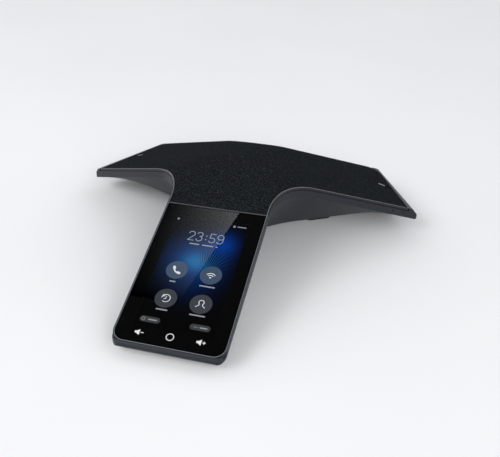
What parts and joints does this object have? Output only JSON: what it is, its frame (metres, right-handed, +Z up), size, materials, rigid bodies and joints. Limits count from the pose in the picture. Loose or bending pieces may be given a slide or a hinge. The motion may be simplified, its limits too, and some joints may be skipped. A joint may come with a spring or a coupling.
{
  "type": "conference phone",
  "caption": "Low three-armed table-top IP conference phone with a portrait touch display and fabric-covered speaker wings.",
  "frame": {"origin": "centre of the phone's footprint, on the table", "axes": "+Z up, +X to the user's right, -Y towards the user, along the display arm"},
  "size_m": [0.3264, 0.3206, 0.0693],
  "materials": {
    "case_plastic": "satin moulded slate grey",
    "trim": "satin light grey",
    "carrier_plastic": "matte black",
    "fabric": "fine woven acoustic cloth",
    "cover_glass": "black polished",
    "lcd": "polished",
    "tray": "matte white",
    "steel": "rolled",
    "board": "solder mask",
    "flex": "polyimide film",
    "key_plastic": "black satin",
    "light_bar": "frosted diffuser",
    "can": "stamped",
    "brass": "turned",
    "antenna": "laminate",
    "socket_plastic": "moulded black",
    "foam": "closed cell foam",
    "basket": "black",
    "magnet": "sintered ferrite",
    "coil": "enamelled copper",
    "cone": "paper",
    "spider": "doped cloth",
    "rubber": "matte"
  },
  "bodies": {
    "phone": {"bottom_case": "case_plastic", "top_trim": "trim", "grille_carrier": "carrier_plastic", "fabric_skin": "fabric", "seam_strip": "trim", "cover_glass": "cover_glass", "lcd_cell": "lcd", "backlight_tray": "tray", "display_bracket": "steel", "touch_key_board": "board", "display_flex": "flex", "left_mute_key": "key_plastic", "right_mute_key": "key_plastic", "left_mute_light": "light_bar", "right_mute_light": "light_bar", "left_mute_board": "board", "right_mute_board": "board", "left_mic_board": "board", "right_mic_board": "board", "mic_capsules": "can", "main_board": "board", "processor_shield": "can", "radio_module": "can", "board_posts": "brass", "board_screws": "steel", "left_antenna": "antenna", "right_antenna": "antenna", "left_ballast": "steel", "right_ballast": "steel", "left_wing_flex": "flex", "right_wing_flex": "flex", "port_board": "board", "port_panel": "carrier_plastic", "network_socket": "socket_plastic", "usb_a_socket": "steel", "usb_c_socket": "steel", "lock_plate": "steel", "speaker_box": "carrier_plastic", "speaker_gasket": "foam", "speaker_basket": "basket", "speaker_top_plate": "steel", "speaker_magnet": "magnet", "speaker_yoke": "steel", "cone_surround": "foam", "spider": "spider", "rubber_feet": "rubber", "case_screws": "steel"},
    "cone": {"voice_coil": "coil", "speaker_cone": "cone", "dust_cap": "cone"}
  },
  "joints": [
    {"name": "cone_travel", "type": "slide", "parent": "phone", "child": "cone", "axis": [0, 0, 1], "range_m": [-0.0025, 0.0025], "stiffness_N_per_m": 1500, "deforming": ["cone_surround", "spider"]}
  ]
}
